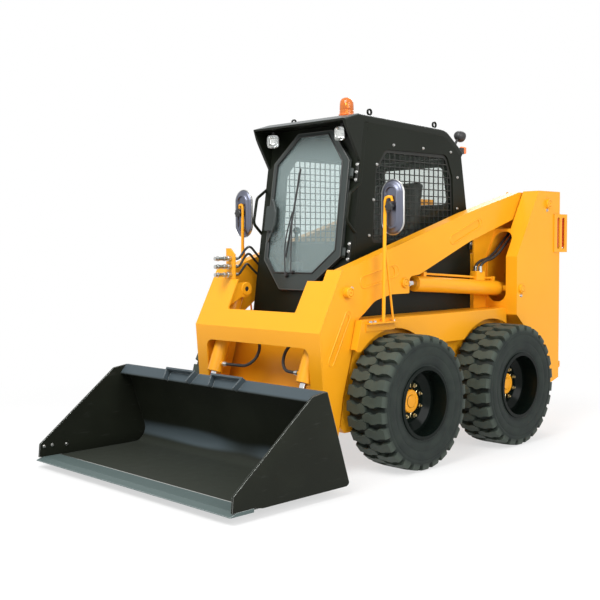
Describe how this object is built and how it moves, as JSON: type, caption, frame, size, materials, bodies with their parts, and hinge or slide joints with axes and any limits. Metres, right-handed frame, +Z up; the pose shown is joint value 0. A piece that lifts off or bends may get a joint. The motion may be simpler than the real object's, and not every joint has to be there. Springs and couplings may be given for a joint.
{
  "type": "skid steer loader",
  "caption": "Compact wheeled loader with a cab between two lift arms hinged high at the rear, a front bucket on a tilting coupler, cylinders, opening doors and freely turning wheels.",
  "frame": {"origin": "on the ground under the middle of the bounding box", "axes": "+X forward to the bucket, +Y to the machine's left, +Z up"},
  "size_m": [3.528, 1.884, 2.3609],
  "materials": {
    "paint": "satin body enamel",
    "black_paint": "satin black enamel",
    "bucket_paint": "worn matt black enamel",
    "edge_steel": "worn steel",
    "rod_chrome": "hard chrome",
    "casting": "machined casting",
    "hub_iron": "painted casting",
    "rim_paint": "gloss black enamel",
    "tyre": "matt rubber",
    "window": "tinted safety glass",
    "trim": "textured",
    "seat_vinyl": "vinyl over foam",
    "beacon_lens": "lens",
    "fitting": "plated",
    "hose": "hose cover"
  },
  "bodies": {
    "machine": {"chassis_frame": "paint", "left_fender": "paint", "right_fender": "paint", "left_tower": "paint", "right_tower": "paint", "engine_block": "casting", "axle_housings": "hub_iron", "tow_hitch": "paint", "tail_lamp_guards": "paint", "mirror_stays": "paint", "mirrors": "trim", "cab_floor": "black_paint", "left_cab_side": "black_paint", "right_cab_side": "black_paint", "cab_rear_panel": "black_paint", "cab_roof": "black_paint", "cab_front_frame": "black_paint", "window_guards": "black_paint", "cab_glass": "window", "seat_cushion": "seat_vinyl", "seat_back": "seat_vinyl", "control_levers": "trim", "work_lights": "trim", "beacon": "beacon_lens"},
    "lift_arms": {"left_arm": "paint", "right_arm": "paint", "arm_front_plate": "paint", "arm_cross_tube": "paint", "coupler_bracket": "paint", "aux_couplers": "fitting", "coupler_hoses": "hose"},
    "bucket": {"coupler_frame": "bucket_paint", "bucket_shell": "bucket_paint", "bucket_side_plates": "bucket_paint", "cutting_edge": "edge_steel"},
    "left_lift_barrel": {"left_lift_barrel": "paint", "left_lift_hoses": "hose"},
    "left_lift_rod": {"left_lift_rod": "rod_chrome"},
    "left_tilt_barrel": {"left_tilt_barrel": "paint", "left_tilt_hose": "hose"},
    "left_tilt_rod": {"left_tilt_rod": "rod_chrome"},
    "right_lift_barrel": {"right_lift_barrel": "paint", "right_lift_hoses": "hose"},
    "right_lift_rod": {"right_lift_rod": "rod_chrome"},
    "right_tilt_barrel": {"right_tilt_barrel": "paint", "right_tilt_hose": "hose"},
    "right_tilt_rod": {"right_tilt_rod": "rod_chrome"},
    "front_left_wheel": {"front_left_tyre": "tyre", "front_left_rim": "rim_paint"},
    "front_right_wheel": {"front_right_tyre": "tyre", "front_right_rim": "rim_paint"},
    "rear_left_wheel": {"rear_left_tyre": "tyre", "rear_left_rim": "rim_paint"},
    "rear_right_wheel": {"rear_right_tyre": "tyre", "rear_right_rim": "rim_paint"},
    "cab_door": {"cab_door": "black_paint", "door_glass": "window"},
    "rear_door": {"rear_door": "paint"},
    "engine_hood": {"engine_hood": "paint"}
  },
  "joints": [
    {"name": "lift", "type": "hinge", "parent": "machine", "child": "lift_arms", "pos_m": [-1.5, 0, 1.682], "axis": [0, -1, 0], "range_deg": [0, 64]},
    {"name": "bucket_tilt", "type": "hinge", "parent": "lift_arms", "child": "bucket", "pos_m": [0.711, 0, 0.27], "axis": [0, 1, 0], "range_deg": [-28, 100]},
    {"name": "left_lift_swing", "type": "hinge", "parent": "machine", "child": "left_lift_barrel", "pos_m": [-1.157, 0.536, 1.068], "axis": [0, -1, 0], "range_deg": [0, 61.89]},
    {"name": "left_lift_stroke", "type": "slide", "parent": "left_lift_barrel", "child": "left_lift_rod", "axis": [0.9978, 0, 0.066], "range_m": [0, 0.7434]},
    {"name": "left_tilt_swing", "type": "hinge", "parent": "lift_arms", "child": "left_tilt_barrel", "pos_m": [0.523, 0.42, 1.1], "axis": [0, 1, 0], "range_deg": [-0.83, 2.73]},
    {"name": "left_tilt_stroke", "type": "slide", "parent": "left_tilt_barrel", "child": "left_tilt_rod", "axis": [0.3643, 0, -0.9313], "range_m": [-0.0712, 0.2517]},
    {"name": "right_lift_swing", "type": "hinge", "parent": "machine", "child": "right_lift_barrel", "pos_m": [-1.157, -0.536, 1.068], "axis": [0, -1, 0], "range_deg": [0, 61.89]},
    {"name": "right_lift_stroke", "type": "slide", "parent": "right_lift_barrel", "child": "right_lift_rod", "axis": [0.9978, 0, 0.066], "range_m": [0, 0.7434]},
    {"name": "right_tilt_swing", "type": "hinge", "parent": "lift_arms", "child": "right_tilt_barrel", "pos_m": [0.523, -0.42, 1.1], "axis": [0, 1, 0], "range_deg": [-0.83, 2.73]},
    {"name": "right_tilt_stroke", "type": "slide", "parent": "right_tilt_barrel", "child": "right_tilt_rod", "axis": [0.3643, 0, -0.9313], "range_m": [-0.0712, 0.2517]},
    {"name": "front_left_spin", "type": "hinge", "parent": "machine", "child": "front_left_wheel", "pos_m": [0.151, 0.75, 0.418], "axis": [0, 1, 0], "continuous": true},
    {"name": "front_right_spin", "type": "hinge", "parent": "machine", "child": "front_right_wheel", "pos_m": [0.151, -0.75, 0.418], "axis": [0, 1, 0], "continuous": true},
    {"name": "rear_left_spin", "type": "hinge", "parent": "machine", "child": "rear_left_wheel", "pos_m": [-0.898, 0.75, 0.418], "axis": [0, 1, 0], "continuous": true},
    {"name": "rear_right_spin", "type": "hinge", "parent": "machine", "child": "rear_right_wheel", "pos_m": [-0.898, -0.75, 0.418], "axis": [0, 1, 0], "continuous": true},
    {"name": "cab_door_hinge", "type": "hinge", "parent": "machine", "child": "cab_door", "pos_m": [0.33503, 0.385, 1.345], "axis": [-0.1532, 0, 0.9882], "range_deg": [0, 90]},
    {"name": "rear_door_hinge", "type": "hinge", "parent": "machine", "child": "rear_door", "pos_m": [-1.6823, -0.447, 0.64], "axis": [0, 0, 1], "range_deg": [0, 110]},
    {"name": "engine_hood_hinge", "type": "hinge", "parent": "machine", "child": "engine_hood", "pos_m": [-0.961, 0, 1.368], "axis": [0, 1, 0], "range_deg": [0, 60]}
  ],
  "couplings": [
    {"joint": "left_lift_swing", "follows": "lift", "ratio": 0.9592},
    {"joint": "left_lift_stroke", "follows": "lift", "m_per_rad": 0.66464},
    {"joint": "left_tilt_swing", "follows": "bucket_tilt", "ratio": 0.026248},
    {"joint": "left_tilt_stroke", "follows": "bucket_tilt", "m_per_rad": 0.14364},
    {"joint": "right_lift_swing", "follows": "lift", "ratio": 0.9592},
    {"joint": "right_lift_stroke", "follows": "lift", "m_per_rad": 0.66464},
    {"joint": "right_tilt_swing", "follows": "bucket_tilt", "ratio": 0.026248},
    {"joint": "right_tilt_stroke", "follows": "bucket_tilt", "m_per_rad": 0.14364}
  ]
}
